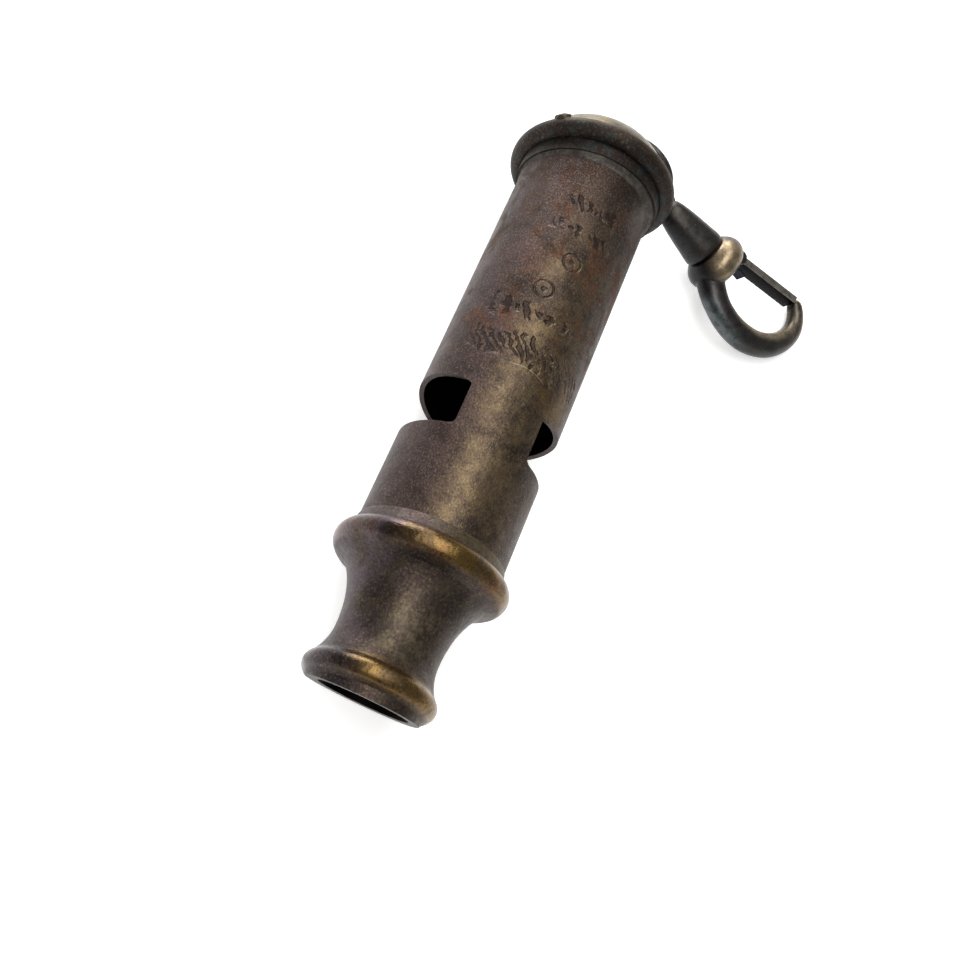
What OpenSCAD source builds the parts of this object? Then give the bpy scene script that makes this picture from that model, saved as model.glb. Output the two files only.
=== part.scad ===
// Two-note round whistle with a swivel spring hook, lying on its side.
// The origin is in the mouth opening, on the axis. +X runs along the whistle from the mouth to the
// cap, +Z is the face that looks up when it lies on a table, and the hook hangs to the -Y side.

/* [Barrel] */
// Outer diameter of the barrel tube
barrel_d = 17.5; // [17:0.1:18]
// Wall thickness of the barrel tube
barrel_wall = 0.6; // [0.5:0.05:0.7]
// Distance from the mouth to the top end of the barrel tube
barrel_top = 74.2; // [73.5:0.1:74.5]
// Distance from the mouth to the lower edge of both windows
window_start = 29.8; // [29:0.1:31]
// Height of each window beside the front strip
window_side = 5.9; // [5:0.1:7]
// Extra height of each window in the middle of its arched lip
window_arch = 0.9; // [0.5:0.1:1.5]
// Half angle of the strip of wall left between the windows
strip_angle = 31.5; // [28:0.5:36]

/* [Mouthpiece] */
// Radius of the mouthpiece at its waist
waist_r = 6.0; // [5.9:0.05:6.3]
// Radius of the straight throat inside the waist
throat_r = 5.1; // [4.8:0.05:5.2]
// Radius of the rounded lip at its widest
lip_r = 7.7; // [7.5:0.05:7.9]
// Lean of the mouth's face, in degrees from square
mouth_lean = 9.7; // [9:0.1:10]
// Radius of the large bead at its widest
bead_r = 10.4; // [10.2:0.05:10.6]
// Distance from the mouth to the middle of the large bead
bead_x = 15.6; // [15.4:0.1:15.8]

/* [Inner parts] */
// Height of the slit that the breath leaves through
windway_gap = 1.2; // [0.9:0.1:1.4]
// Thickness of the plate that parts the two pipes
partition_t = 0.6; // [0.5:0.1:0.8]
// Distance from the mouth to the stopper of the shorter pipe
stopper_x = 60; // [50:1:66]

/* [Cap] */
// Distance from the mouth to the middle of the cap's bead
cap_x = 74.1; // [73.9:0.1:74.3]
// Radius of the cap's bead at its widest
cap_bead_r = 11.0; // [10.9:0.05:11.1]
// Height of the cap's dome above the middle of its bead
dome_h = 7.0; // [6.8:0.05:7.1]
// Lean of the cap towards +Y, in degrees
cap_lean = 2.8; // [2:0.1:3.2]
// Thickness of the wire in the cap's loop
loop_wire_d = 1.6; // [1.5:0.05:1.7]

/* [Hook] */
// Outer diameter of the hook's collar
collar_d = 8.6; // [8.4:0.1:8.8]
// Thickness of the hook's bar along its belly
bar_d = 3.7; // [3.5:0.1:3.8]
// Thickness of the hook's bar at its nose
nose_d = 2.4; // [2.2:0.1:2.6]
// Depth of the gate across the hook
gate_depth = 2.2; // [2:0.1:2.4]
// Thickness of the gate
gate_t = 1.2; // [1:0.05:1.3]

/* [Hidden] */
$fn = 96;

barrel_r = barrel_d / 2;
bore_r = barrel_r - barrel_wall;
barrel_start = 14.6;
block_start = 18;
reach = 30;

lip_round = 1.3;
lip_reach = 3;
lip_front_r = 6.0;
lip_step = [0.25, 6.6];
mouth_lead = 0.33;
lip_mid_r = lip_r - lip_round;
bead_round = 1.55;
bead_mid_r = bead_r - bead_round;
waist_x = 6.05;
flare_rise = 4.8;
flare_front = 5.7;
flare_back = 8.8;
throat_start = 3.6;
throat_end = 8;
sleeve_end = 18.5;

cap_wall = 0.8;
cap_bead_round = 1.3;
cap_mid_r = cap_bead_r - cap_bead_round;
dome_fullness = 0.97;
skirt_r = barrel_r + 0.65;
skirt_len = 3;
loop_half = 2.9;
loop_corner = 1.4;
loop_top = 9.7;
loop_foot = 5.6;

// Link ring: centre, turn about Z and radii
link_at = [80.9, -5.53, -0.95];
link_turn = -17.5;
link_mid_r = 4.65;
link_wire_r = 0.5;

// Hook frame: the middle of the collar, with its own +X along the swivel axis to the bend
hook_at = [77.62, -21.72, -5.53];
hook_turn = -98.8;
hook_dip = 15.2;
eye_x = -12.0;
eye_mid_r = 1.75;
eye_wire_r = 0.65;
neck_start = -10.4;
neck_end = -2.5;
neck_r1 = 1.9;
neck_r2 = 3.1;
stem_r = 1.3;
stem_gap = 0.05;
head_r = 1.5;
head_x = 1.2;
head_t = 0.7;
head_gap = 0.05;
collar_r = collar_d / 2;
collar_mid = -0.2;
collar_half = 2.2;
collar_round = 2.4;

// The hook's bar: where it starts, its heading there, and each stretch's bend radius, sweep and
// bar radius
bow_from = [0.1, -2.3];
bow_heading = -51;
bow = [[9, 80, bar_d / 2], [9, 45, (bar_d + nose_d) / 4], [5, 56, nose_d / 2]];

pin_at = [2.0, 2.85];
pin_r = 0.45;
pin_gap = 0.05;
pin_len = 3.5;
gate_eye_r = 0.85;
gate_angle = 13.3;
gate_reach = 11.85;
gate_gap = 0.06;
gate_room = 24;
ear_t = 0.6;
ear_gap = 0.06;
ear_r = 1.05;
spring_t = 0.3;
spring_len = 3.9;
spring_start = 0.6;
spring_top = pin_at[1] - gate_eye_r - 0.02;

// Points of an arc about [cx, cy], from angle a to angle b
function arc(cx, cy, r, a, b, n = 16) =
    [for (i = [0:n]) let (t = a + (b - a) * i / n) [cx + r * cos(t), cy + r * sin(t)]];

// Radius of the waist's elliptical flare at a distance x from the mouth
function flare(x) =
    let (u = (x - waist_x) / (x < waist_x ? flare_front : flare_back))
    waist_r + flare_rise * (1 - sqrt(1 - u * u));

// Revolves an outline, drawn as [distance, radius], about the X axis
module about_x(points) {
    rotate([90, 0, 90])
        rotate_extrude()
            polygon([for (p = points) [p[1], p[0]]]);
}

module along_x(x, length, r) {
    translate([x, 0, 0])
        rotate([0, 90, 0])
            cylinder(h = length, r = r);
}

// Where stretch i of the hook's bar starts: its place and heading
function bow_at(i) =
    i == 0 ? [bow_from[0], bow_from[1], bow_heading]
           : let (p = bow_at(i - 1), r = bow[i - 1][0], c = bow_centre(p, r), h = p[2] + bow[i - 1][1])
             [c[0] + r * sin(h), c[1] - r * cos(h), h];

// Centre of a left-hand bend of radius r that starts at p
function bow_centre(p, r) = [p[0] - r * sin(p[2]), p[1] + r * cos(p[2])];

// A round bar bent to an arc, from angle a to angle b in degrees
module bent_bar(mid_r, bar, a, b) {
    rotate([0, 0, a])
        rotate_extrude(angle = b - a)
            translate([mid_r, 0])
                circle(r = bar);
}

module ring(mid_r, bar) {
    rotate_extrude()
        translate([mid_r, 0])
            circle(r = bar);
}

module in_cap_frame() {
    translate([cap_x, 0, 0])
        rotate([0, 0, cap_lean])
            children();
}

module in_hook_frame() {
    translate(hook_at)
        rotate([0, hook_dip, hook_turn])
            children();
}

// The space of both windows: straight below, arched above, one cut right through the barrel
module window_cut() {
    half = barrel_r * cos(strip_angle);
    corner = 0.6;
    arch_r = (half * half + window_arch * window_arch) / (2 * window_arch);
    top = window_side + window_arch;
    translate([window_start, reach, 0])
        rotate([90, 0, 0])
            linear_extrude(2 * reach)
                intersection() {
                    translate([top - arch_r, 0])
                        circle(r = arch_r, $fn = 360);
                    union() {
                        translate([0, corner - half])
                            square([top, 2 * (half - corner)]);
                        translate([corner, -half])
                            square([window_side - 2 * corner, 2 * half]);
                        for (x = [corner, window_side - corner], z = [corner - half, half - corner])
                            translate([x, z])
                                circle(r = corner);
                    }
                }
}

module barrel() {
    color("#6b5a4e")
        difference() {
            along_x(barrel_start, barrel_top - barrel_start, barrel_r);
            along_x(barrel_start - 1, reach * 3, bore_r);
            window_cut();
        }
}

module mouthpiece() {
    outline = concat(
        [[-lip_reach, throat_r + 0.25],
         [-lip_reach, lip_front_r],
         [-lip_step[0], lip_step[1]]],
        arc(lip_round, lip_mid_r, lip_round, 150, 40, 16),
        [for (x = [2.6:0.5:13.6]) [x, flare(x)]],
        arc(bead_x, bead_mid_r, bead_round, 155, 15, 18),
        [[sleeve_end, barrel_r + 0.1],
         [sleeve_end, barrel_r],
         [barrel_start, barrel_r],
         [barrel_start, bore_r],
         [throat_end, throat_r],
         [throat_start, throat_r],
         [1.8, throat_r + 0.15]]);
    color("#7a6440")
        difference() {
            about_x(outline);
            // The mouth's face leans, so its upper edge stands further out than its lower one
            translate([-mouth_lead, 0, 0])
                rotate([0, -mouth_lean, 0])
                    along_x(-reach, reach, reach);
        }
}

// One half of the fipple: a solid D on its side of the partition, flat where the breath passes
module windway_block(side) {
    color("#8a7550")
        intersection() {
            along_x(block_start, window_start - block_start, bore_r);
            translate([0, side > 0 ? partition_t / 2 : windway_gap - bore_r, -reach])
                cube([reach * 2, bore_r - windway_gap - partition_t / 2, reach * 2]);
        }
}

module windway_block_left() {
    windway_block(1);
}

module windway_block_right() {
    windway_block(-1);
}

module partition_plate() {
    color("#8a7550")
        intersection() {
            along_x(block_start, barrel_top - block_start, bore_r);
            translate([0, -partition_t / 2, -reach])
                cube([reach * 4, partition_t, reach * 2]);
        }
}

module short_pipe_stopper() {
    color("#8a7550")
        intersection() {
            along_x(stopper_x, 1.2, bore_r);
            translate([0, partition_t / 2, -reach])
                cube([reach * 4, reach, reach * 2]);
        }
}

// Points along the dome's outside, or its inside, from angle a above the bead up to its top
function dome_points(inset, a) =
    [for (i = [0:16]) let (t = a + (90 - a) * i / 16)
        [(dome_h - inset) * pow(sin(t), dome_fullness),
         (cap_mid_r + 0.1 - inset) * pow(cos(t), dome_fullness)]];

module end_cap() {
    outside = concat(
        [[-skirt_len, 0], [-skirt_len, skirt_r], [-1.2, skirt_r]],
        arc(0, cap_mid_r, cap_bead_round, 190, 4, 20),
        dome_points(0, 12));
    inside = concat([[-skirt_len, 0], [-skirt_len, bore_r - cap_wall], [0.6, bore_r - cap_wall]],
                    dome_points(cap_wall, 12));
    color("#6f6038")
        difference() {
            in_cap_frame()
                about_x(outside);
            in_cap_frame()
                about_x(inside);
            along_x(cap_x - 2 * skirt_len, barrel_top - cap_x + 2 * skirt_len, barrel_r);
        }
}

module cap_solder_ring() {
    seat = cap_x - skirt_len;
    color("#77716a")
        difference() {
            about_x([[seat - 0.9, barrel_r], [seat - 0.55, barrel_r + 0.12],
                     [seat - 0.1, barrel_r + 0.45], [seat + 0.6, barrel_r + 0.5],
                     [seat + 0.6, barrel_r]]);
            end_cap();
        }
}

module top_loop() {
    straight = loop_top - loop_corner;
    color("#6a5c3c")
        difference() {
            in_cap_frame() {
                for (side = [-1, 1]) {
                    translate([0, side * loop_half, 0])
                        along_x(loop_foot, straight - loop_foot, loop_wire_d / 2);
                }
                translate([straight, loop_corner - loop_half, 0])
                    bent_bar(loop_corner, loop_wire_d / 2, 270, 360);
                translate([straight, loop_half - loop_corner, 0])
                    bent_bar(loop_corner, loop_wire_d / 2, 0, 90);
                translate([loop_top, loop_half - loop_corner, 0])
                    rotate([90, 0, 0])
                        cylinder(h = 2 * (loop_half - loop_corner), r = loop_wire_d / 2);
            }
            in_cap_frame()
                about_x(concat([[0, 0]], dome_points(0, 0)));
        }
}

module link_ring() {
    color("#57534c")
        translate(link_at)
            rotate([0, 0, link_turn])
                rotate([0, 90, 0])
                    ring(link_mid_r, link_wire_r);
}

// The eye, its neck and the riveted stem that the hook turns on
module swivel_eye() {
    color("#3f3d3b")
        in_hook_frame() {
            translate([eye_x, 0, 0])
                ring(eye_mid_r, eye_wire_r);
            translate([neck_start, 0, 0])
                rotate([0, 90, 0])
                    cylinder(h = neck_end - neck_start, r1 = neck_r1, r2 = neck_r2);
            along_x(neck_end - 0.5, head_x + 0.5 - neck_end, stem_r);
            along_x(head_x, head_t, head_r);
        }
}

module collar() {
    about_x(concat(
        [[collar_mid - collar_half, 0]],
        [for (i = [0:16]) let (t = 175 - 170 * i / 16)
            [collar_mid + collar_half * cos(t), collar_r - collar_round * (1 - sin(t))]],
        [[collar_mid + collar_half, 0]]));
}

// The hook's bar: three bends in a row, each with a short cone down to the next one's thickness
module bow_bar() {
    for (i = [0:len(bow) - 1]) {
        p = bow_at(i);
        r = bow[i][2];
        translate(concat(bow_centre(p, bow[i][0]), 0))
            bent_bar(bow[i][0], r, p[2] - 90, p[2] - 90 + bow[i][1]);
        if (i > 0) {
            step = bow[i - 1][2] - r;
            translate([p[0], p[1], 0])
                rotate([0, 0, p[2]])
                    rotate([0, 90, 0])
                        cylinder(h = 5 * step, r1 = r + step, r2 = r);
        }
    }
    tip = bow_at(len(bow));
    translate([tip[0], tip[1], 0])
        sphere(r = nose_d / 2);
}

// The two ears that hold the gate's pin
module ears() {
    for (side = [-1, 1])
        translate([0, 0, side * (gate_depth / 2 + ear_gap + ear_t / 2)])
            linear_extrude(ear_t, center = true) {
                translate(pin_at)
                    circle(r = ear_r);
                translate([0, pin_at[1] - 2])
                    square([pin_at[0], 2 + ear_r]);
            }
}

module hook_body() {
    color("#45423f")
        in_hook_frame()
            difference() {
                union() {
                    collar();
                    bow_bar();
                    ears();
                }
                along_x(collar_mid - collar_half - 1, 2 * collar_half + 2, stem_r + stem_gap);
                along_x(head_x - head_gap, 4, head_r + 2 * stem_gap);
                translate([pin_at[0], pin_at[1], -reach])
                    cylinder(h = 2 * reach, r = pin_r);
                gate_sweep();
                spring_leaf();
            }
}

// The room that the gate turns in, between the ears and up to the nose of the hook
module gate_sweep() {
    depth = gate_depth + 2 * ear_gap;
    translate([pin_at[0], pin_at[1], -depth / 2])
        cylinder(h = depth, r = gate_eye_r + ear_gap);
    translate([pin_at[0], pin_at[1], -reach])
        rotate([0, 0, gate_angle - gate_room])
            rotate_extrude(angle = gate_room + 40)
                translate([gate_reach / 2, 0])
                    square([gate_reach / 2 + gate_gap, 2 * reach]);
    translate([pin_at[0], 0.5, -depth / 2])
        cube([gate_eye_r + 0.5, pin_at[1], depth]);
}

module gate() {
    color("#4a4541")
        in_hook_frame()
            translate([pin_at[0], pin_at[1], 0])
                difference() {
                    linear_extrude(gate_depth, center = true)
                        intersection() {
                            circle(r = gate_reach);
                            union() {
                                circle(r = gate_eye_r);
                                rotate([0, 0, gate_angle])
                                    translate([0, gate_eye_r - gate_t])
                                        square([gate_reach + 1, gate_t]);
                            }
                        }
                    cylinder(h = reach, r = pin_r + pin_gap, center = true);
                }
}

module gate_pin() {
    color("#5b564f")
        in_hook_frame()
            translate([pin_at[0], pin_at[1], 0])
                cylinder(h = pin_len, r = pin_r, center = true);
}

module spring_leaf() {
    width = gate_depth - 0.6;
    translate([spring_start, spring_top - spring_t, -width / 2])
        cube([spring_len, spring_t, width]);
}

// A flat spring set in the collar, which bears on the heel of the gate
module gate_spring() {
    color("#34373d")
        in_hook_frame()
            spring_leaf();
}

barrel();
mouthpiece();
windway_block_left();
windway_block_right();
partition_plate();
short_pipe_stopper();
end_cap();
cap_solder_ring();
top_loop();
link_ring();
swivel_eye();
hook_body();
gate();
gate_pin();
gate_spring();
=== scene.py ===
import math

import bmesh
import bpy
import numpy as np
from mathutils import Matrix, Vector

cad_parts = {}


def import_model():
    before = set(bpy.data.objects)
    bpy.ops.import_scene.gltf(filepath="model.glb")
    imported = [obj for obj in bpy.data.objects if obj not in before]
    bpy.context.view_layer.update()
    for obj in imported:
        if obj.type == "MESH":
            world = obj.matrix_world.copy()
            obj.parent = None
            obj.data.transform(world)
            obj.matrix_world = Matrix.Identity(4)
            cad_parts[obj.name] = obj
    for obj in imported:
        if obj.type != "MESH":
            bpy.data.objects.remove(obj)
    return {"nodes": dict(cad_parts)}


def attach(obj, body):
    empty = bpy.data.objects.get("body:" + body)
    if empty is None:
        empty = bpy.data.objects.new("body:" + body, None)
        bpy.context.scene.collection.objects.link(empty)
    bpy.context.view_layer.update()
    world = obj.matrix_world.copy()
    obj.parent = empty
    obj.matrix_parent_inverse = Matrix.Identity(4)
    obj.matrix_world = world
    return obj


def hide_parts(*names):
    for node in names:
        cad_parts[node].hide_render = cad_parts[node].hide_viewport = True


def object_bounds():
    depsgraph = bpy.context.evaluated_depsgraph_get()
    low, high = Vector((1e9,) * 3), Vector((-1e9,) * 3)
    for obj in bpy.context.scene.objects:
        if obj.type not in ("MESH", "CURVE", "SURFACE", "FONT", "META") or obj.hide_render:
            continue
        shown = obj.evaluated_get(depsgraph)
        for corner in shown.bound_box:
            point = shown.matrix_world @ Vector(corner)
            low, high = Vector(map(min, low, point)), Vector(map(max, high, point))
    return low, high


# The visual model of a round two-note whistle with a swivel spring hook. x runs from the mouth to
# the cap, z is up. Looks are procedural. Three CAD solids are replaced by finer meshes, and one
# small lump of solder is new. The other CAD solids keep their meshes.
MM = 0.001
BARREL_R = 8.75  # outer radius of the barrel, mm
WINDOWS = (28.0, 38.0)  # where the windows lie along the barrel, mm from the mouth
CAP_SEAM = 74.9  # where the dome meets the cap's bead, mm from the mouth
CAMERA_AT = (-31.39, 23.43, 127.62)  # mm
CAMERA_RIGHT = (0.3602, -0.8674, 0.3434)
CAMERA_AHEAD = (0.4196, -0.1782, -0.8901)
CAMERA_LENS, CAMERA_SENSOR = 46.66, 36.0  # mm
FLOOR_DROP = 0.02  # gap between the object and the floor, mm
FLOOR_HALF = 3.0  # half the floor's width, m

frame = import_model()
cad_lo, cad_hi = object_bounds()


def linked(name, data):
    """A new object for a mesh, light or camera, linked into the scene."""
    ob = bpy.data.objects.new(name, data)
    bpy.context.collection.objects.link(ob)
    return ob


# ---------------------------------------------------------------- camera
def make_camera():
    """The photograph's viewpoint: close above the mouth end, the whistle running away up and right."""
    cam = bpy.data.cameras.new("camera")
    cam.lens, cam.sensor_width = CAMERA_LENS, CAMERA_SENSOR
    cam.clip_start, cam.clip_end = 0.01, 10.0
    ob = linked("camera", cam)
    right = Vector(CAMERA_RIGHT).normalized()
    ahead = Vector(CAMERA_AHEAD).normalized()
    up = right.cross(ahead)
    right = ahead.cross(up)
    turn = Matrix((right, up, -ahead)).transposed()
    ob.matrix_world = Matrix.Translation(Vector(CAMERA_AT) * MM) @ turn.to_4x4()
    bpy.context.scene.camera = ob


make_camera()


# ---------------------------------------------------------------- shader helper
def rgb(code):
    """A colour such as 5a4b40, given in sRGB, as linear RGBA."""
    part = [int(code[i : i + 2], 16) / 255 for i in (0, 2, 4)]
    return [*(c / 12.92 if c <= 0.04045 else ((c + 0.055) / 1.055) ** 2.4 for c in part), 1.0]


class Shader:
    """One material's node tree. Positions are in millimetres in the part's own frame."""

    def __init__(self, name, metallic=0.8):
        self.mat = bpy.data.materials.new(name)
        self.mat.use_nodes = True
        self.tree = self.mat.node_tree
        self.tree.nodes.clear()
        self.out = self.add("ShaderNodeOutputMaterial")
        self.bsdf = self.add("ShaderNodeBsdfPrincipled")
        self.tree.links.new(self.bsdf.outputs[0], self.out.inputs[0])
        self.bsdf.inputs["Metallic"].default_value = metallic
        coord = self.add("ShaderNodeTexCoord")
        self.p = self.vec("SCALE", coord.outputs["Object"], scale=1 / MM)
        self.normal = coord.outputs["Normal"]
        split = self.add("ShaderNodeSeparateXYZ")
        self.link(self.p, split.inputs[0])
        self.x, self.y, self.z = split.outputs

    def add(self, kind, **props):
        node = self.tree.nodes.new(kind)
        for k, v in props.items():
            setattr(node, k, v)
        return node

    def link(self, value, socket):
        if isinstance(value, (int, float, list, tuple)):
            socket.default_value = value
        else:
            self.tree.links.new(value, socket)

    def vec(self, op, a, b=None, scale=None):
        n = self.add("ShaderNodeVectorMath", operation=op)
        self.link(a, n.inputs[0])
        if b is not None:
            self.link(b, n.inputs[1])
        if scale is not None:
            n.inputs["Scale"].default_value = scale
        return n.outputs["Value"] if op in ("DOT_PRODUCT", "LENGTH") else n.outputs[0]

    def sum_node(self, op, a, b=0.0):
        """One step of arithmetic. The methods below it name the steps."""
        n = self.add("ShaderNodeMath", operation=op)
        self.link(a, n.inputs[0])
        self.link(b, n.inputs[1])
        return n.outputs[0]

    def times(self, a, b):
        return self.sum_node("MULTIPLY", a, b)

    def plus(self, a, b):
        return self.sum_node("ADD", a, b)

    def minus(self, a, b):
        return self.sum_node("SUBTRACT", a, b)

    def divided(self, a, b):
        return self.sum_node("DIVIDE", a, b)

    def larger(self, a, b):
        return self.sum_node("MAXIMUM", a, b)

    def absolute(self, a):
        return self.sum_node("ABSOLUTE", a)

    def floor(self, a):
        return self.sum_node("FLOOR", a)

    def far_from(self, dx, dy):
        """The distance from a point, from its two parts."""
        return self.sum_node("SQRT", self.plus(self.times(dx, dx), self.times(dy, dy)))

    def step(self, value, lo, hi, to_lo=0.0, to_hi=1.0):
        """A smooth step, from to_lo where value is lo to to_hi where it is hi."""
        n = self.add("ShaderNodeMapRange", interpolation_type="SMOOTHSTEP")
        for sock, v in zip(n.inputs, (value, lo, hi, to_lo, to_hi)):
            self.link(v, sock)
        return n.outputs[0]

    def band(self, value, a, b, soft):
        """1 between a and b, fading over soft."""
        return self.times(self.step(value, a - soft, a), self.step(value, b + soft, b))

    def noise(self, scale, detail=4.0, rough=0.55, warp=0.0, stretch=None, shift=0.0):
        """Noise with about scale cells per millimetre, 0 to 1."""
        n = self.add("ShaderNodeTexNoise")
        at = self.p
        if stretch:
            at = self.vec("MULTIPLY", at, stretch)
        if shift:
            at = self.vec("ADD", at, (shift, shift * 0.7, -shift))
        self.link(at, n.inputs["Vector"])
        for key, v in (("Scale", scale), ("Detail", detail), ("Roughness", rough), ("Distortion", warp)):
            n.inputs[key].default_value = v
        return n.outputs[0]

    def cells(self, scale):
        """Distance to the middle of the nearest cell, with about scale cells per millimetre."""
        n = self.add("ShaderNodeTexVoronoi")
        self.link(self.p, n.inputs["Vector"])
        n.inputs["Scale"].default_value = scale
        return n.outputs[0]

    def mix(self, fac, a, b):
        """Colour a where fac is 0, b where it is 1."""
        n = self.add("ShaderNodeMix", data_type="RGBA")
        self.link(fac, n.inputs["Factor"])
        self.link(a, n.inputs[6])
        self.link(b, n.inputs[7])
        return n.outputs[2]

    def bump(self, height, strength, depth_mm, below=None):
        n = self.add("ShaderNodeBump")
        n.inputs["Strength"].default_value = strength
        n.inputs["Distance"].default_value = depth_mm * MM
        self.link(height, n.inputs["Height"])
        if below is not None:
            self.link(below, n.inputs["Normal"])
        return n.outputs[0]

    def radial(self):
        """How far the surface faces away from the whistle's axis, -1 to 1, and its distance."""
        flat = self.vec("MULTIPLY", self.p, (0.0, 1.0, 1.0))
        facing = self.vec("DOT_PRODUCT", self.vec("NORMALIZE", flat), self.normal)
        return facing, self.vec("LENGTH", flat)

    def finish(self, colour, rough, normal):
        self.link(colour, self.bsdf.inputs["Base Color"])
        self.link(rough, self.bsdf.inputs["Roughness"])
        self.link(normal, self.bsdf.inputs["Normal"])
        return self.mat


def grime(s, colour, dark, amount=0.5, scale=0.35, shift=0.0):
    """Soft darker clouds over a colour."""
    cloud = s.step(s.noise(scale, 5, 0.6, 0.4, shift=shift), 0.45, 0.7)
    return s.mix(s.times(cloud, amount), colour, dark)


def specks(s, colour, tint, scale=2.2, size=0.12, amount=0.7):
    """Small pale dust specks and pits, here and there."""
    dot = s.step(s.cells(scale), size, size * 0.4)
    here = s.step(s.noise(0.5, 3, 0.5, shift=9.0), 0.5, 0.62)
    return s.mix(s.times(s.times(dot, here), amount), colour, tint)


def scratches(s, scale=1.0, shift=3.0):
    """Thin straight hairlines in two directions, 0 to 1."""
    one = s.step(s.noise(scale, 2, 0.5, 0.3, (0.6, 3.6, 2.4), shift), 0.69, 0.75)
    two = s.step(s.noise(scale, 2, 0.5, 0.4, (3.6, 0.7, 1.1), shift + 5), 0.69, 0.75)
    return s.times(s.larger(one, two), s.step(s.noise(0.35, 3, 0.6, shift=shift + 9), 0.45, 0.65))


# ---------------------------------------------------------------- materials
RING_MARKS = ((50.2, -1.6), (55.2, 0.2))  # distance along the barrel and round it, mm
RING_R, RING_DOT = 1.15, 0.45
ARC_R = 7.6
TICK_ROWS = (  # distance along, pitch, height, middle, half width, slant
    (41.6, 1.0, 1.9, 0.3, 8.4, 0.55),
    (46.6, 1.5, 1.35, -1.6, 6.2, 0.2),
    (59.6, 1.15, 1.1, 0.4, 5.0, 0.3),
    (63.6, 1.15, 1.1, 0.6, 4.6, 0.3),
)


def punch_marks(s, round_by):
    """Worn marks in the upper barrel: two dotted rings and rows of slanting ticks, no letters."""
    total = None
    for cx, cs in RING_MARKS:
        dx, ds = s.minus(s.x, cx), s.minus(round_by, cs)
        far = s.far_from(dx, ds)
        ring = s.step(s.absolute(s.minus(far, RING_R)), 0.2, 0.05)
        ring = s.larger(ring, s.step(far, RING_DOT, 0.2))
        total = ring if total is None else s.larger(total, ring)
    total = s.times(total, s.step(s.noise(0.9, 4, 0.65, shift=7.0), 0.3, 0.6, 0.3, 0.75))
    drift = s.times(s.minus(s.noise(0.3, 3, 0.6, 0.5, shift=6.0), 0.5), 3.4)
    wobble = s.times(s.minus(s.noise(0.34, 3, 0.6, 0.5, shift=16.0), 0.5), 2.0)
    worn = s.step(s.noise(0.42, 5, 0.65, 0.8, shift=2.0), 0.36, 0.5)
    for row, (cx, pitch, tall, mid, wide, slant) in enumerate(TICK_ROWS):
        dx = s.plus(s.minus(s.x, cx), wobble)
        along = s.plus(s.plus(round_by, drift), s.times(dx, slant))
        cell = s.floor(s.divided(along, pitch))
        die = s.add("ShaderNodeTexWhiteNoise", noise_dimensions="1D")
        s.link(s.plus(cell, 17.3 * row + 4.1), die.inputs["W"])
        at = s.minus(along, s.times(s.plus(cell, 0.5), pitch))
        tick = s.step(s.absolute(at), 0.32 * pitch, 0.14 * pitch)
        high = s.times(s.plus(die.outputs["Value"], 0.25), tall)
        tick = s.times(tick, s.step(s.minus(s.absolute(dx), high), 0.15, -0.25))
        tick = s.times(tick, s.step(s.absolute(s.minus(round_by, mid)), wide, wide - 1.2))
        total = s.larger(total, s.times(tick, worn))
    return s.times(total, s.step(s.z, 1.0, 4.0))


def curved_scratch(s, round_by):
    """One fine arc scratched into the barrel above its windows."""
    dx, ds = s.minus(s.x, 32.0), s.minus(round_by, 0.2)
    far = s.far_from(dx, ds)
    line = s.step(s.absolute(s.minus(far, ARC_R)), 0.1, 0.02)
    return s.times(s.times(line, s.band(round_by, -1.2, 2.2, 1.0)), s.step(s.x, 36.0, 37.5))


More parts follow.
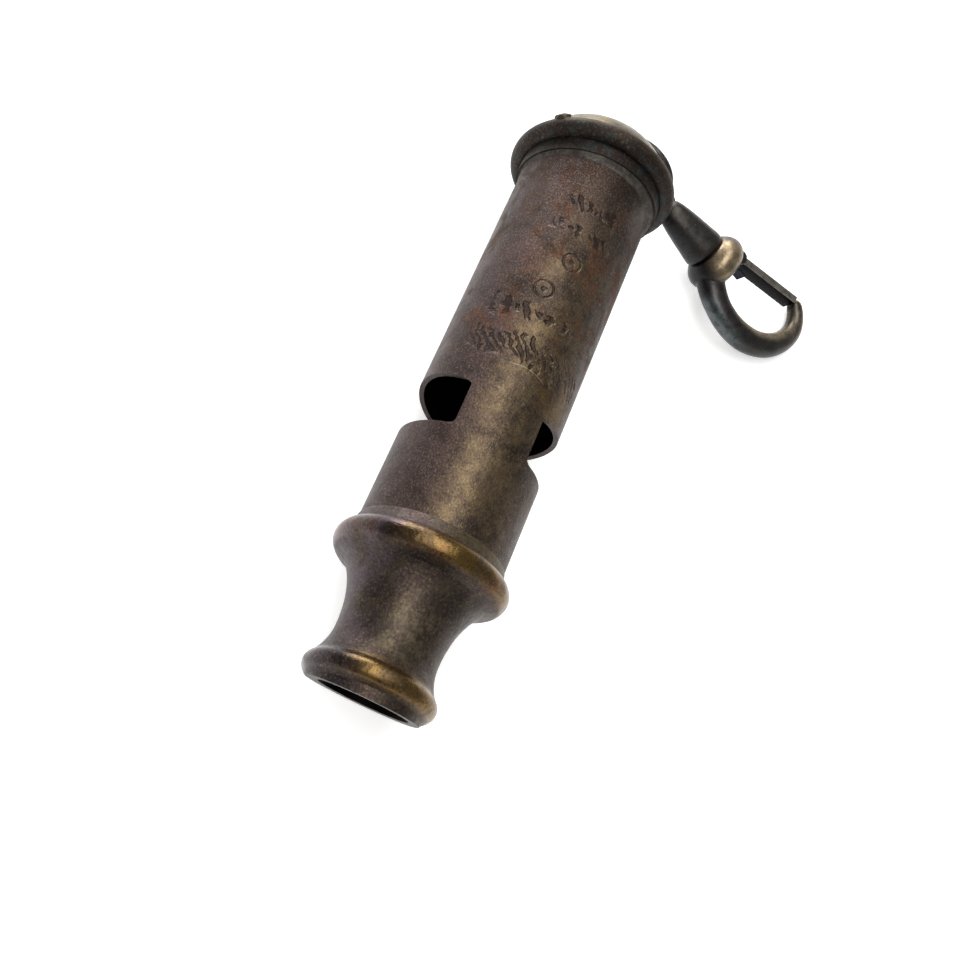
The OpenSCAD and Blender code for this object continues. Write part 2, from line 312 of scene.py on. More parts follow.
def barrel_material():
    s = Shader("tarnished_plate", 0.88)
    facing = s.radial()[0]
    round_by = s.times(s.sum_node("ARCTAN2", s.times(s.y, -1.0), s.z), BARREL_R)
    top = s.step(s.z, -2.0, 7.0)
    # a purple-brown skin to the +Y side, browner to the -Y side
    side = s.step(round_by, -7.0, 6.0)
    wander = s.noise(0.09, 4, 0.6, 0.8)
    colour = s.mix(s.plus(s.times(side, 0.6), s.times(wander, 0.45)), rgb("493a3d"), rgb("46382d"))
    # worn olive-bronze along the front, down to the windows and below them
    front = s.times(s.step(s.absolute(s.minus(round_by, 1.4)), 6.4, 2.2), s.step(s.z, 2.0, 6.0))
    front = s.times(front, s.step(s.x, 66.0, 44.0, 0.25, 1.0))
    ragged = s.step(s.noise(0.3, 6, 0.65, 0.6, shift=1.0), 0.34, 0.6)
    front = s.times(front, s.plus(s.times(ragged, 0.6), 0.35))
    colour = s.mix(front, colour, rgb("6a5a42"))
    # copper-red and rusty patches on the upper barrel
    rust_zone = s.times(s.step(s.x, 37.0, 46.0), s.step(s.x, 74.0, 67.0))
    rust = s.step(s.noise(0.24, 6, 0.68, 1.4, (0.8, 1.0, 1.0), 5.0), 0.47, 0.62)
    rust = s.times(s.times(rust, rust_zone), 0.75)
    colour = s.mix(rust, colour, rgb("5f3d2a"))
    near_window = s.times(s.band(s.x, 37.0, 41.0, 2.0), s.band(round_by, 3.4, 7.5, 1.5))
    colour = s.mix(s.times(near_window, s.step(wander, 0.35, 0.6, 0.2, 0.75)), colour, rgb("68502f"))
    # dark stains, a darker skin near the cap, painted shade on its +Y side towards the cap, and the
    # grain of the worn plate
    colour = grime(s, colour, rgb("2a2220"), 0.85, 0.2, 11.0)
    colour = grime(s, colour, rgb("2e2827"), 0.6, 0.75, 4.0)
    bloom = s.times(s.step(s.x, 64.0, 71.5), s.step(s.noise(0.35, 4, 0.6, shift=8.0), 0.35, 0.6))
    colour = s.mix(s.times(bloom, 0.35), colour, rgb("2e2826"))
    # painted shade, darker on the +Y side towards the cap
    painted_shade_near_cap = s.times(s.step(s.x, 58.0, 70.0), s.step(round_by, 6.0, -4.0, 0.45, 0.8))
    colour = s.mix(s.times(painted_shade_near_cap, 0.8), colour, rgb("2c2121"))
    grain = s.noise(5.5, 3, 0.7, 0.0, (0.7, 1.0, 1.0))
    colour = s.mix(s.times(s.step(grain, 0.5, 0.68), 0.5), colour, rgb("7c6c54"))
    colour = s.mix(s.times(s.step(grain, 0.5, 0.36), 0.5), colour, rgb("26201c"))
    colour = specks(s, colour, rgb("948f8b"), 1.3, 0.08, 0.45)
    marks = punch_marks(s, round_by)
    colour = s.mix(s.times(marks, 0.72), colour, rgb("211a16"))
    cut = scratches(s, 0.8)
    arc = curved_scratch(s, round_by)
    bright = s.larger(s.times(cut, 0.3), s.times(arc, 0.45))
    colour = s.mix(bright, colour, rgb("9b9280"))
    # rims of the windows rubbed pale, and painted shade making the inside nearly black
    rim = s.times(s.step(s.absolute(facing), 0.75, 0.4), s.band(s.x, *WINDOWS, 0.5))
    colour = s.mix(s.times(rim, 0.55), colour, rgb("574e50"))
    # painted shade: the inside of the barrel nearly black
    painted_shade_inside = s.step(facing, -0.3, -0.7)
    colour = s.mix(painted_shade_inside, colour, rgb("0a0a0a"))
    # painted shade, darker towards the bottom of the barrel
    colour = s.mix(s.times(s.minus(1.0, top), 0.35), colour, rgb("2e2826"))
    rough = s.plus(s.times(s.noise(0.5, 4, 0.6), 0.3), s.times(rust, 0.25))
    rough = s.plus(rough, s.step(front, 0.0, 1.0, 0.34, 0.24))
    dents = s.bump(s.noise(0.22, 3, 0.5, 0.3), 0.5, 0.35)
    pits = s.bump(s.noise(2.6, 4, 0.65), 0.55, 0.07, dents)
    fine = s.bump(grain, 0.6, 0.035, pits)
    pressed = s.bump(s.times(marks, -1.0), 0.9, 0.22, fine)
    nicks = s.bump(s.times(s.larger(cut, arc), -1.0), 0.5, 0.05, pressed)
    return s.finish(colour, rough, nicks)


def mouthpiece_material():
    s = Shader("worn_bronze", 0.9)
    facing, away = s.radial()
    colour = s.mix(s.noise(0.18, 4, 0.6, 0.6), rgb("453a37"), rgb("3a2f26"))
    purple = s.times(s.step(s.y, 1.0, 6.5), s.step(s.noise(0.25, 3, 0.5, shift=3.0), 0.35, 0.6))
    colour = s.mix(s.times(purple, 0.75), colour, rgb("514650"))
    colour = grime(s, colour, rgb("25201e"), 0.8, 0.3, 6.0)
    # the bead and the lip are rubbed to a golden bronze, the waist has one worn spot
    crest = s.larger(s.step(away, 9.35, 10.2), s.times(s.step(away, 6.5, 7.4), s.step(s.x, 4.6, 3.0)))
    crest = s.times(crest, s.step(s.noise(0.35, 5, 0.6, 0.5, shift=7.0), 0.3, 0.58, 0.35, 1.0))
    colour = s.mix(s.times(crest, s.step(s.y, 6.5, 1.5, 0.05, 0.9)), colour, rgb("73592e"))
    upper = s.times(s.band(s.y, -2.5, 1.2, 1.8), s.step(s.z, 2.0, 5.0))
    spot = s.times(s.band(s.x, 4.2, 8.6, 2.2), upper)
    spot = s.times(spot, s.step(s.noise(0.8, 5, 0.6, shift=2.0), 0.42, 0.62, 0.1, 0.8))
    colour = s.mix(s.times(spot, 0.6), colour, rgb("726852"))
    red = s.times(s.step(s.noise(0.4, 5, 0.65, 0.8, shift=12.0), 0.5, 0.64), s.step(away, 8.6, 9.8))
    colour = s.mix(s.times(red, 0.6), colour, rgb("563222"))
    # painted shade on the lip's +Y side
    left_lip_painted_shade = s.times(s.step(s.y, 2.5, 5.5), s.step(s.x, 4.2, 2.6))
    colour = s.mix(s.times(left_lip_painted_shade, 0.75), colour, rgb("241f22"))
    # the sleeve behind the bead is soldered over and worn like the barrel
    sleeve = s.step(away, 9.5, 9.0)
    sleeve = s.times(sleeve, s.step(s.x, 15.9, 16.6))
    like = s.mix(s.step(s.y, -4.0, 5.0), rgb("51452f"), rgb("41363a"))
    like = s.mix(s.step(s.noise(0.9, 5, 0.65, 0.4, shift=4.0), 0.5, 0.7, 0.0, 0.7), like, rgb("4f4f45"))
    colour = s.mix(sleeve, colour, like)
    sparkle = s.step(s.noise(5.5, 3, 0.7), 0.5, 0.68)
    colour = s.mix(s.times(s.times(sparkle, sleeve), 0.5), colour, rgb("7c6c54"))
    mottle = s.noise(3.2, 5, 0.72, 0.3, shift=5.0)
    colour = s.mix(s.times(s.step(mottle, 0.5, 0.7), 0.55), colour, rgb("75674f"))
    colour = s.mix(s.times(s.step(mottle, 0.5, 0.34), 0.6), colour, rgb("1f1a17"))
    olive = s.times(s.step(s.noise(0.5, 5, 0.65, 0.6, shift=21.0), 0.5, 0.68), s.step(away, 9.6, 9.0))
    colour = s.mix(s.times(s.times(olive, s.minus(1.0, crest)), 0.5), colour, rgb("4a4535"))
    colour = specks(s, colour, rgb("a49e98"), 1.3, 0.1, 0.6)
    cut = scratches(s, 1.1, 6.0)
    colour = s.mix(s.times(cut, 0.3), colour, rgb("92866e"))
    # painted shade: the inside of the throat nearly black
    painted_shade_inside = s.step(facing, 0.0, -0.5)
    colour = s.mix(painted_shade_inside, colour, rgb("171311"))
    rough = s.plus(s.times(s.noise(0.7, 4, 0.6), 0.28), s.step(crest, 0.0, 1.0, 0.34, 0.08))
    dents = s.bump(s.noise(0.25, 3, 0.5, 0.3, shift=5.0), 0.4, 0.3)
    pits = s.bump(mottle, 0.5, 0.06, dents)
    nicks = s.bump(s.times(cut, -1.0), 0.5, 0.04, pits)
    return s.finish(colour, rough, nicks)


def cap_material():
    s = Shader("cap_bronze", 0.85)
    colour = s.mix(s.noise(0.2, 4, 0.6, 0.5), rgb("3d352c"), rgb("463a2b"))
    # golden dome, with a dull brown line where it meets the bead
    dome = s.step(s.x, CAP_SEAM, 75.6)
    gold = s.mix(s.step(s.noise(0.3, 5, 0.6, 0.4, shift=4.0), 0.3, 0.7), rgb("6e5e3a"), rgb("594f40"))
    colour = s.mix(dome, colour, gold)
    seam = s.band(s.x, CAP_SEAM, 75.35, 0.4)
    colour = s.mix(s.times(seam, 0.7), colour, rgb("412619"))
    # painted shade under the bead, with a dark green-blue patina there
    patchy = s.step(s.noise(0.35, 4, 0.6, shift=2.0), 0.2, 0.55, 0.65, 1.0)
    # painted shade in the crease under the bead
    painted_shade_under_bead = s.times(s.step(s.x, 74.6, 73.6), patchy)
    colour = s.mix(s.times(painted_shade_under_bead, 0.9), colour, rgb("2a2322"))
    green = s.times(s.step(s.noise(0.5, 5, 0.6, 0.6, shift=13.0), 0.5, 0.64), s.step(s.x, 75.0, 73.4))
    colour = s.mix(s.times(green, 0.7), colour, rgb("27393a"))
    pale = s.times(s.step(s.cells(0.8), 0.22, 0.05), s.band(s.x, 71.4, 73.2, 0.3))
    colour = s.mix(s.times(pale, 0.3), colour, rgb("6f6f6a"))
    colour = grime(s, colour, rgb("221e1a"), 0.6, 0.4, 3.0)
    colour = specks(s, colour, rgb("86837b"), 1.4, 0.06, 0.35)
    cut = scratches(s, 1.0, 8.0)
    colour = s.mix(s.times(cut, 0.35), colour, rgb("8f8263"))
    rough = s.plus(s.times(s.noise(0.6, 4, 0.6), 0.3), s.step(dome, 0.0, 1.0, 0.42, 0.2))
    mottle = s.noise(3.0, 5, 0.7, 0.3, shift=5.0)
    colour = s.mix(s.times(s.step(mottle, 0.5, 0.7), 0.4), colour, rgb("6b5f49"))
    colour = s.mix(s.times(s.step(mottle, 0.5, 0.34), 0.5), colour, rgb("1d1916"))
    dents = s.bump(s.noise(0.3, 3, 0.5, 0.3, shift=2.0), 0.4, 0.3)
    pits = s.bump(mottle, 0.6, 0.06, dents)
    nicks = s.bump(s.times(cut, -1.0), 0.5, 0.04, pits)
    return s.finish(colour, rough, nicks)


def dull_material(name, light, dark, metallic, rough_from, scale=0.6):
    """A dull metal with clouds, pits and specks."""
    s = Shader(name, metallic)
    colour = s.mix(s.step(s.noise(scale, 5, 0.6, 0.4), 0.3, 0.7), rgb(light), rgb(dark))
    colour = grime(s, colour, [c * 0.45 for c in rgb(dark)[:3]] + [1.0], 0.6, scale * 1.7, 3.0)
    colour = specks(s, colour, rgb("7b7770"), 1.8, 0.1, 0.35)
    rough = s.plus(s.times(s.noise(0.9, 4, 0.6), 0.3), rough_from)
    pits = s.bump(s.noise(2.8, 4, 0.65), 0.5, 0.06, s.bump(s.noise(0.6, 3, 0.5), 0.35, 0.15))
    return s.finish(colour, rough, pits)


def steel_material(name, hook, painted_highlights_and_nose=True, gate_painted_shade_and_highlight=False):
    """Gunmetal of the swivel hook, lighter on its upward faces and darker on its downward faces as
    painted light and shade, with painted highlights in bronze on the collar and the inner edge of the
    bend, a painted grey reflection along the outer edge, a paler nose, and on the gate a black side of
    painted shade. hook is its frame.
    """
    s = Shader(name, 0.85)
    centre = [c / MM for c in hook.translation]
    rel = s.vec("SUBTRACT", s.p, centre)
    along, gate_side, up = (s.vec("DOT_PRODUCT", rel, list(hook.col[i][:3])) for i in range(3))
    side_n, up_n = (s.vec("DOT_PRODUCT", s.normal, list(hook.col[i][:3])) for i in (1, 2))
    colour = s.mix(s.step(s.noise(0.3, 4, 0.6, 0.5), 0.3, 0.7), rgb("2b2d30"), rgb("322f2c"))
    # painted light on the upward faces and painted shade on the downward faces
    colour = s.mix(s.step(up_n, 0.15, 0.85, 0.0, 0.55), colour, rgb("45413c"))
    colour = s.mix(s.step(up_n, 0.1, -0.5, 0.0, 0.6), colour, rgb("1e1f22"))
    if painted_highlights_and_nose:
        # painted highlight on the upper part of the collar
        shoulder = s.times(s.band(along, -2.0, 0.8, 0.9), s.band(gate_side, -2.4, 0.9, 1.8))
        shoulder = s.times(shoulder, s.step(up, 0.9, 2.9))
        colour = s.mix(s.times(shoulder, 0.9), colour, rgb("98866b"))
        # painted grey reflection along the outer edge of the bar, painted bronze highlight along the
        # inner edge of the bend
        outer = s.times(s.step(side_n, -0.35, -0.8), s.step(along, 11.0, 6.0))
        outer = s.times(outer, s.step(along, 0.6, 2.4))
        colour = s.mix(s.times(outer, 0.65), colour, rgb("666c6e"))
        inner = s.times(s.step(side_n, 0.0, 0.55), s.step(along, 3.0, 8.0))
        inner = s.times(inner, s.step(s.noise(0.5, 4, 0.6, shift=3.0), 0.25, 0.6, 0.4, 1.0))
        colour = s.mix(s.times(inner, 0.9), colour, rgb("a59378"))
        nose = s.times(s.step(along, 13.0, 15.5), s.step(gate_side, -1.5, 1.5))
        colour = s.mix(s.times(nose, 0.5), colour, rgb("7c7160"))
    if gate_painted_shade_and_highlight:
        # painted shade: the gate's inner face black; painted highlight: its upper face paler
        colour = s.mix(s.step(side_n, 0.0, -0.35), colour, rgb("020203"))
        colour = s.mix(s.times(s.step(up_n, 0.3, 0.8), 0.7), colour, rgb("8f897e"))
    colour = grime(s, colour, rgb("0d0d0f"), 0.5, 0.7, 6.0)
    mottle = s.noise(3.0, 5, 0.7, 0.3, shift=5.0)
    colour = s.mix(s.times(s.step(mottle, 0.5, 0.34), 0.4), colour, rgb("0e0e10"))
    colour = specks(s, colour, rgb("726e66"), 2.0, 0.08, 0.3)
    cut = scratches(s, 1.4, 4.0)
    colour = s.mix(s.times(cut, 0.2), colour, rgb("716b60"))
    rough = s.plus(s.times(s.noise(0.9, 4, 0.6), 0.22), 0.28)
    if gate_painted_shade_and_highlight:
        # the face with painted shade also loses its shine and metal
        s.link(s.step(side_n, -0.35, 0.0, 0.05, 0.5), s.bsdf.inputs["Specular IOR Level"])
        s.link(s.step(side_n, -0.35, 0.0, 0.0, 0.85), s.bsdf.inputs["Metallic"])
    pits = s.bump(s.noise(2.2, 4, 0.6), 0.35, 0.05, s.bump(s.noise(0.45, 3, 0.5, 0.3), 0.4, 0.2))
    nicks = s.bump(s.times(cut, -1.0), 0.4, 0.03, pits)
    return s.finish(colour, rough, nicks)


# ---------------------------------------------------------------- mesh helpers
def from_bmesh(name, bm):
    """A new object from a bmesh, which is then freed."""
    mesh = bpy.data.meshes.new(name)
    bm.to_mesh(mesh)
    bm.free()
    return linked(name, mesh)


def to_object(name, verts, faces):
    """A new object whose faces all point outwards."""
    mesh = bpy.data.meshes.new(name)
    mesh.from_pydata([tuple(v) for v in verts], [], faces)
    bm = bmesh.new()
    bm.from_mesh(mesh)
    bmesh.ops.recalc_face_normals(bm, faces=bm.faces)
    bm.to_mesh(mesh)
    bm.free()
    return linked(name, mesh)


def rings_to_mesh(rings, closed_ends=True):
    """Quads between rings of equal size, with fans over the two ends."""
    n = len(rings[0])
    verts = [p for ring in rings for p in ring]
    faces = []
    for i in range(len(rings) - 1):
        for k in range(n):
            a, b = i * n + k, i * n + (k + 1) % n
            faces.append((a, b, b + n, a + n))
    if closed_ends:
        faces.append(tuple(reversed(range(n))))
        faces.append(tuple(range((len(rings) - 1) * n, len(rings) * n)))
    return verts, faces


def revolve(profile, sides=64):
    """Rings about local +X from (distance, radius) pairs."""
    turn = [2 * math.pi * k / sides for k in range(sides)]
    return [[(x, r * math.cos(t), r * math.sin(t)) for t in turn] for x, r in profile]


def place(rings, at):
    """Rings in mm, moved by the matrix at."""
    return [[at @ (Vector(p) * MM) for p in ring] for ring in rings]


def apply_modifiers(ob):
    """Bakes the modifiers into the mesh."""
    dg = bpy.context.evaluated_depsgraph_get()
    mesh = bpy.data.meshes.new_from_object(ob.evaluated_get(dg))
    ob.modifiers.clear()
    ob.data = mesh
    return ob


def merged(name, parts):
    """One object from several closed ones, which overlap."""
    verts, faces = [], []
    for ob in parts:
        base = len(verts)
        verts += [tuple(ob.matrix_world @ v.co) for v in ob.data.vertices]
        faces += [tuple(base + i for i in f.vertices) for f in ob.data.polygons]
        bpy.data.objects.remove(ob)
    return to_object(name, verts, faces)


def cast(ob, voxel_mm, rounds):
    """Melts overlapping closed solids into one smooth skin, as a casting has."""
    re = ob.modifiers.new("re", "REMESH")
    re.mode, re.voxel_size, re.use_smooth_shade = "VOXEL", voxel_mm * MM, True
    sm = ob.modifiers.new("sm", "SMOOTH")
    sm.factor, sm.iterations = 0.5, rounds
    return apply_modifiers(ob)


def cut(ob, cutter):
    """Takes the cutter away from the object."""
    mod = ob.modifiers.new("cut", "BOOLEAN")
    mod.operation, mod.solver, mod.object = "DIFFERENCE", "MANIFOLD", cutter
    apply_modifiers(ob)
    bpy.data.objects.remove(cutter)
    return ob


def shade(ob, angle=40):
    """Smooth shading, with edges sharper than angle left sharp."""
    ob.data.polygons.foreach_set("use_smooth", [True] * len(ob.data.polygons))
    ob.data.set_sharp_from_angle(angle=math.radians(angle))
    return ob


# ---------------------------------------------------------------- the hook's frame and shape
# All sizes here are in mm in the hook's own frame: x from the collar to the bend, y to the gate.
HOOK_AT = Vector((77.62, -21.72, -5.53)) * MM
HOOK_YAW = Matrix.Rotation(math.radians(-98.8), 4, "Z")
HOOK_PITCH = Matrix.Rotation(math.radians(15.2), 4, "Y")
HOOK = Matrix.Translation(HOOK_AT) @ HOOK_YAW @ HOOK_PITCH
BOW_FROM, BOW_HEADING = (0.1, -2.3), -51.0
BOW = ((9.0, 125.0), (5.0, 61.0))  # bend radius and sweep of each stretch
# the bar's radius at each part of its length
BOW_R = ((0.0, 2.0), (0.18, 1.8), (0.42, 1.9), (0.6, 1.78), (0.8, 1.45), (1.0, 1.1))
COLLAR = (-0.2, 2.2, 4.25, 2.4)  # middle, half length, largest radius, how far it falls to its ends
SKIRT = ((-2.3, 3.0), (-1.6, 3.7), (-0.9, 3.9), (-0.2, 3.6))
PIN = (2.0, 2.85)  # the gate's pin
EAR_R, EAR_T, EAR_GAP = 1.05, 0.6, 0.06  # the ears' radius, thickness and play beside the gate
STEM_BORE = 1.35
RIVET_ROOM, RIVET_FROM = 1.6, 1.15  # radius and start of the room for the rivet head
CLEAR_THROUGH = 3.0  # a cutter this far from the middle goes right through
VOXEL = 0.13
GATE_ANGLE, GATE_R, GATE_T, GATE_REACH, GATE_DEEP = 13.3, 0.85, 1.2, 11.85, 2.2
GATE_TRIM = 0.03  # off the lower face, so the open gate clears its leaf
GATE_OVER = 0.14  # how far the bar goes past its reach in the CAD
GATE_FLAT_FROM = 1.6  # the lower face starts here, past the eye
GATE_BORE, GATE_BEVEL = 0.5, 0.14
NOSE_CLEAR = 0.22  # room past the gate's reach
EYE_X, EYE_R, EYE_WIRE = -12.0, 1.75, 0.65  # the swivel's eye: place, middle radius, wire radius
NECK = (  # the swivel's neck, stem and rivet head as (distance, radius)
    (-11.2, 0.4), (-11.0, 1.1), (-10.4, 1.65), (-9.4, 1.95), (-8.0, 2.22), (-6.5, 2.45),
    (-5.2, 2.62), (-4.2, 2.76), (-3.4, 2.88), (-2.9, 2.92), (-2.62, 2.82), (-2.52, 2.6),
    (-2.52, 1.3), (1.2, 1.3), (1.2, 1.5), (1.75, 1.5), (1.88, 1.3), (1.9, 0.5),
)
LUMP_TURN, LUMP_X, LUMP_OUT = 48.0, 74.5, 10.55  # the solder lump's turn, and its place in mm


def bow_line(count=72):
    """Points and headings along the middle of the hook's bar."""
    x, y, h = *BOW_FROM, math.radians(BOW_HEADING)
    total = sum(r * math.radians(a) for r, a in BOW)
    out = []
    for i in range(count + 1):
        left = total * i / count
        px, py, ph = x, y, h
        for r, a in BOW:
            go = min(left, r * math.radians(a))
            t = go / r
            cx, cy = px - r * math.sin(ph), py + r * math.cos(ph)
            ph += t
            px, py = cx + r * math.sin(ph), cy - r * math.cos(ph)
            left -= go
            if left <= 1e-9:
                break
        out.append((px, py, ph))
    return out


def bow_tube():
    """The bent bar, thinning to its rounded nose."""
    line = bow_line()
    knots_t, knots_r = zip(*BOW_R)
    rings = []
    count = len(line) - 1
    for i, (x, y, h) in enumerate(line):
        r = float(np.interp(i / count, knots_t, knots_r))
        rings.append(bar_ring(x, y, h, r))
    x, y, h = line[-1]
    tip = knots_r[-1]
    for t in (25, 50, 70, 85):  # the rounded nose
        c, sn = math.cos(math.radians(t)), math.sin(math.radians(t))
        rings.append(bar_ring(x + tip * sn * math.cos(h), y + tip * sn * math.sin(h), h, tip * c))
    return hook_solid("bow", rings)


def bar_ring(x, y, h, r, sides=32):
    """A ring round the bar, across heading h."""
    nx, ny = -math.sin(h), math.cos(h)
    turn = [2 * math.pi * k / sides for k in range(sides)]
    return [(x + r * math.cos(t) * nx, y + r * math.cos(t) * ny, r * math.sin(t)) for t in turn]


def ellipse_profile(mid, half, top, drop, n=24):
    """A rounded collar's profile, for revolve."""
    out = [(mid - half, 0.001)]
    for i in range(n + 1):
        t = math.radians(175 - 170 * i / n)
        out.append((mid + half * math.cos(t), top - drop * (1 - math.sin(t))))
    return [*out, (mid + half, 0.001)]


def hook_solid(name, rings, closed_ends=True):
    """A solid from rings given in the hook's frame."""
    return to_object(name, *rings_to_mesh(place(rings, HOOK), closed_ends))


def slab(x0, x1, y0, y1, z0, z1):
    """A box."""
    rings = [[(x, y0, z0), (x, y1, z0), (x, y1, z1), (x, y0, z1)] for x in (x0, x1)]
    return hook_solid("slab", rings)


def post(cx, cy, r, z0, z1, sides=48):
    """A cylinder along z."""
    turn = [2 * math.pi * k / sides for k in range(sides)]
    rings = [[(cx + r * math.cos(t), cy + r * math.sin(t), z) for t in turn] for z in (z0, z1)]
    return hook_solid("post", rings)


def nose_flat():
    """Clears the side of the nose that the gate's end swings past."""
    reach, near = GATE_REACH + NOSE_CLEAR, GATE_REACH - 1.5
    outline = []
    for r, angles in ((near, range(-12, 13, 3)), (reach, range(12, -13, -3))):
        for a in angles:
            t = math.radians(GATE_ANGLE + a)
            outline.append((PIN[0] + r * math.cos(t), PIN[1] + r * math.sin(t)))
    rings = [[(x, y, z) for x, y in outline] for z in (-CLEAR_THROUGH, CLEAR_THROUGH)]
    return hook_solid("flat", rings)


def hook_piece():
    """Collar, bar and ears as one casting, then the slot and the bores."""
    collar = hook_solid("collar", revolve(ellipse_profile(*COLLAR)))
    skirt = hook_solid("skirt", revolve(SKIRT))
    parts = [collar, skirt, bow_tube()]
    deep = GATE_DEEP / 2 + EAR_GAP
    for side in (-1, 1):
        z0, z1 = sorted((side * deep, side * (deep + EAR_T)))
        parts.append(post(*PIN, EAR_R, z0, z1))
        parts.append(slab(-0.2, PIN[0], 0.9, PIN[1] + 1.0, z0, z1))
    ob = cast(merged("hook_casting", parts), VOXEL, 5)
    cut(ob, post(*PIN, GATE_R + 0.12, -deep, deep))
    cut(ob, slab(PIN[0] - 0.2, PIN[0] + 1.6, 0.6, PIN[1] + 2.0, -deep, deep))
    cut(ob, nose_flat())
    cut(ob, hook_solid("hole", revolve([(-4.0, STEM_BORE), (4.0, STEM_BORE)], 48)))
    cut(ob, hook_solid("room", revolve([(RIVET_FROM, RIVET_ROOM), (5.0, RIVET_ROOM)], 48)))
    return shade(ob)


def gate_piece():
    """The sprung bar across the hook: a flat strip with rounded edges, ending in its eye."""
    a = math.radians(GATE_ANGLE)
    ca, sa = math.cos(a), math.sin(a)

    def world(u, v, z):
        return HOOK @ (Vector((PIN[0] + u * ca - v * sa, PIN[1] + u * sa + v * ca, z)) * MM)

    top, low = GATE_R, GATE_R - GATE_T + GATE_TRIM
    outline = []
    for i in range(25):  # round the eye
        t = math.radians(90 + 245 * i / 24)
        outline.append((GATE_R * math.cos(t), GATE_R * math.sin(t)))
    outline += [(GATE_FLAT_FROM + (GATE_REACH - 1.8) * i / 16, low) for i in range(17)]
    end = GATE_REACH + GATE_OVER
    outline += [(GATE_REACH, low + 0.15), (end - 0.08, top - 0.3)]
    outline += [(end, top - 0.1), (end - 0.1, top)]
    outline += [(end - 0.1 - (end - 0.4) * i / 16, top) for i in range(1, 17)]
    half = GATE_DEEP / 2
    bm = bmesh.new()
    lower = [bm.verts.new(world(u, v, -half)) for u, v in outline]
    upper = [bm.verts.new(world(u, v, half)) for u, v in outline]
    bm.faces.new(list(reversed(lower)))
    bm.faces.new(upper)
    n = len(outline)
    for k in range(n):
        bm.faces.new((lower[k], lower[(k + 1) % n], upper[(k + 1) % n], upper[k]))
    bmesh.ops.recalc_face_normals(bm, faces=bm.faces)
    ob = from_bmesh("gate_bar", bm)
    cut(ob, post(*PIN, GATE_BORE, -CLEAR_THROUGH, CLEAR_THROUGH))
    bevel = ob.modifiers.new("bevel", "BEVEL")
    bevel.width, bevel.segments = GATE_BEVEL * MM, 2
    bevel.limit_method, bevel.angle_limit = "ANGLE", math.radians(50)
    return shade(apply_modifiers(ob), 35)


def swivel_piece():
    """Eye, flared neck, stem and rivet head."""
    shank = hook_solid("shank", revolve(NECK))
    sides, across = 48, 20
    mid, wire = EYE_R, EYE_WIRE
    rings = []
    for i in range(sides):
        t = 2 * math.pi * i / sides
        c, sn = math.cos(t), math.sin(t)
        ring = []
        for k in range(across):
            q = 2 * math.pi * k / across
            r = mid + wire * math.cos(q)
            ring.append((EYE_X + r * c, r * sn, wire * math.sin(q)))
        rings.append(ring)
    rings.append(rings[0])
    eye = hook_solid("eye", rings, closed_ends=False)
    ob = merged("swivel_shank", [shank, eye])
    bm = bmesh.new()
    bm.from_mesh(ob.data)
    bmesh.ops.remove_doubles(bm, verts=bm.verts, dist=1e-7)
    bmesh.ops.recalc_face_normals(bm, faces=bm.faces)
    bm.to_mesh(ob.data)
    bm.free()
    return shade(ob, 50)


def solder_lump(mat):
    """A small lump of solder on the rim of the cap's bead."""
    bm = bmesh.new()
    bmesh.ops.create_icosphere(bm, subdivisions=4, radius=1.0)
    for v in bm.verts:
        k = 1 + 0.12 * math.sin(5 * v.co.x + 2) * math.cos(4 * v.co.y) + 0.08 * math.sin(7 * v.co.z)
        v.co = Vector((v.co.x * 0.75 * k, v.co.y * 1.15 * k, v.co.z * 0.62 * k))
    ob = from_bmesh("rim_lump", bm)
    angle = math.radians(LUMP_TURN)
    out = Vector((0, math.sin(angle), math.cos(angle)))
    spot = Matrix.Translation((Vector((LUMP_X, 0, 0)) + out * LUMP_OUT) * MM)
    ob.data.transform(spot @ Matrix.Rotation(-angle, 4, "X") @ Matrix.Scale(MM, 4))
    ob.data.materials.append(mat)
    return shade(ob)


# ---------------------------------------------------------------- build
plate = barrel_material()
bronze = mouthpiece_material()
cap_mat = cap_material()
# painted shade: the parts inside the whistle nearly black
inner = dull_material("inner_brass", "1a1613", "120f0d", 0.5, 0.5)
solder = dull_material("solder_grey", "57524b", "332f2c", 0.7, 0.42, 0.9)
loop_mat = dull_material("loop_bronze", "6b5c40", "4a3f2e", 0.85, 0.28, 0.8)
link_mat = dull_material("link_steel", "4d4a46", "302f2e", 0.85, 0.3, 1.0)
spring_mat = dull_material("spring_steel", "2b2f38", "1e2024", 0.9, 0.3, 1.2)
pin_mat = dull_material("pin_steel", "5a554e", "3a3733", 0.85, 0.3, 1.5)
steel = steel_material("hook_gunmetal", HOOK)
neck_steel = steel_material("swivel_gunmetal", HOOK, painted_highlights_and_nose=False)
gate_steel = steel_material("gate_gunmetal", HOOK, painted_highlights_and_nose=False, gate_painted_shade_and_highlight=True)

CAD_LOOKS = {
    "barrel": plate,
    "mouthpiece": bronze,
    "windway_block_left": inner,
    "windway_block_right": inner,
    "partition_plate": inner,
    "short_pipe_stopper": inner,
    "end_cap": cap_mat,
    "cap_solder_ring": solder,
    "top_loop": loop_mat,
    "link_ring": link_mat,
    "gate_pin": pin_mat,
    "gate_spring": spring_mat,
}
for node, mat in CAD_LOOKS.items():
    ob = frame["nodes"][node]
    if not ob.data.materials:
        ob.data.materials.append(mat)
    for slot in ob.material_slots:
        slot.material = mat

for make, node, body, mat in (
    (hook_piece, "hook_body", "hook", steel),
    (gate_piece, "gate", "gate", gate_steel),
    (swivel_piece, "swivel_eye", "swivel", neck_steel),
):
    ob = make()
    ob.data.materials.clear()
    ob.data.materials.append(mat)
    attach(ob, body)
    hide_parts(node)

lump = solder_lump(cap_mat)
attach(lump, "whistle")


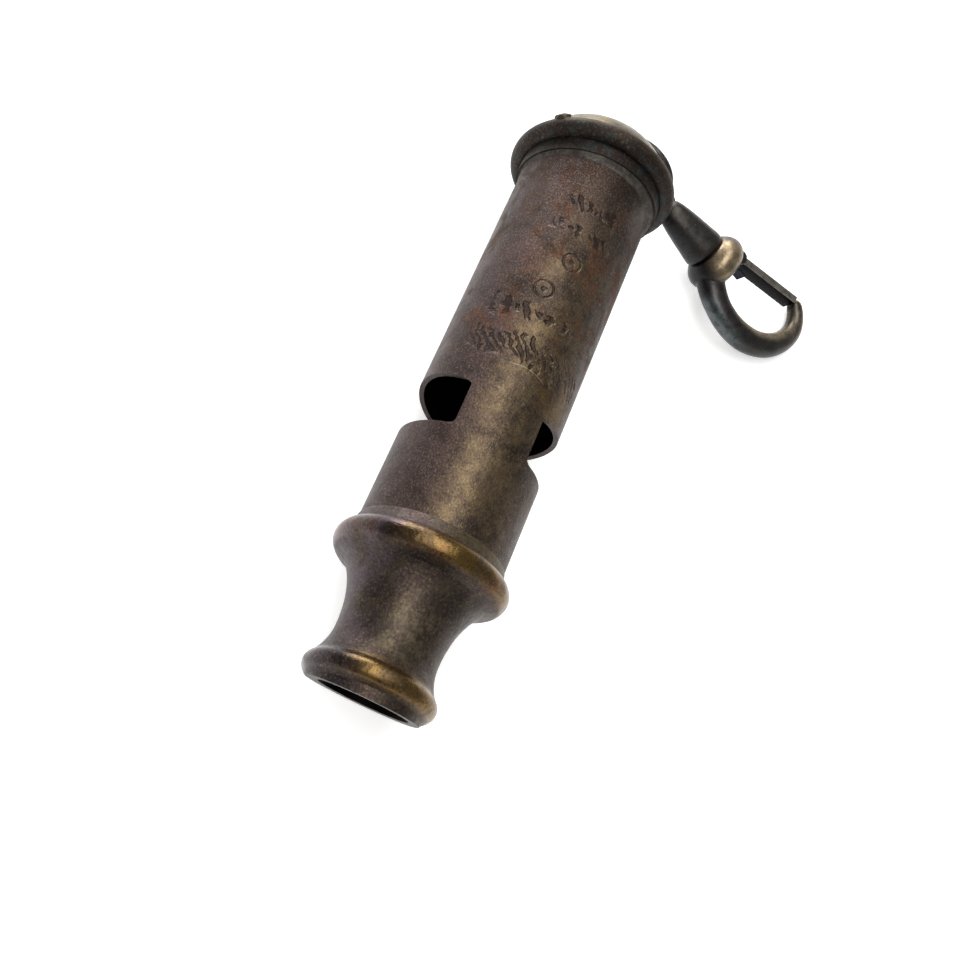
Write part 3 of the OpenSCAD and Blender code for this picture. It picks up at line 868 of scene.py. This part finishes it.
# ---------------------------------------------------------------- floor and light
HORIZON, ZENITH = 0.43, 0.18  # strength of the world's light
LIGHTS = (  # name, place and target in metres, size in metres, watts
    ("key", (0.06, 0.05, 0.5), (0.04, 0.0, 0.0), (0.9, 0.24), 3.4),
    ("end", (0.52, 0.24, 0.13), (0.07, -0.02, 0.0), (0.3, 0.25), 2.4),
)


def make_floor():
    """A white paper floor, a little self-lit so that it stays white under the object."""
    s = Shader("paper", 0.0)
    colour = s.mix(s.noise(0.05, 3, 0.5), rgb("f7f7f6"), rgb("f3f3f2"))
    mat = s.finish(colour, 0.85, s.bump(s.noise(1.5, 3, 0.5), 0.05, 0.02))
    s.bsdf.inputs["Emission Color"].default_value = (1.0, 1.0, 1.0, 1.0)
    s.bsdf.inputs["Emission Strength"].default_value = 0.45
    low = cad_lo.z - FLOOR_DROP * MM
    bm = bmesh.new()
    bmesh.ops.create_grid(bm, x_segments=8, y_segments=8, size=FLOOR_HALF)
    ob = from_bmesh("floor", bm)
    ob.data.transform(Matrix.Translation((0, 0, low)))
    ob.data.materials.append(mat)


def area(name, at, target, size, power):
    """A rectangular light whose first side lies as near to X as its direction allows."""
    light = bpy.data.lights.new(name, "AREA")
    light.shape, light.energy = "RECTANGLE", power
    light.size, light.size_y = size
    ob = linked(name, light)
    down = (Vector(target) - Vector(at)).normalized()
    side = (Vector((1, 0, 0)) - down * down.x).normalized()
    turn = Matrix((side, side.cross(down) * -1, -down)).transposed()
    ob.matrix_world = Matrix.Translation(at) @ turn.to_4x4()


def make_light():
    """A soft white room, brighter low down, one long key light above and one beyond the cap."""
    world = bpy.data.worlds.new("world")
    bpy.context.scene.world = world
    world.use_nodes = True
    tree = world.node_tree
    back = tree.nodes["Background"]
    back.inputs[0].default_value = (1.0, 1.0, 1.0, 1.0)
    coord = tree.nodes.new("ShaderNodeTexCoord")
    split = tree.nodes.new("ShaderNodeSeparateXYZ")
    ramp = tree.nodes.new("ShaderNodeMapRange")
    for key, v in (("From Min", 0.0), ("From Max", 1.0), ("To Min", HORIZON), ("To Max", ZENITH)):
        ramp.inputs[key].default_value = v
    tree.links.new(coord.outputs["Generated"], split.inputs[0])
    tree.links.new(split.outputs[2], ramp.inputs[0])
    tree.links.new(ramp.outputs[0], back.inputs[1])
    for light in LIGHTS:
        area(*light)


make_floor()
make_light()
bpy.context.scene.view_settings.view_transform = "Standard"
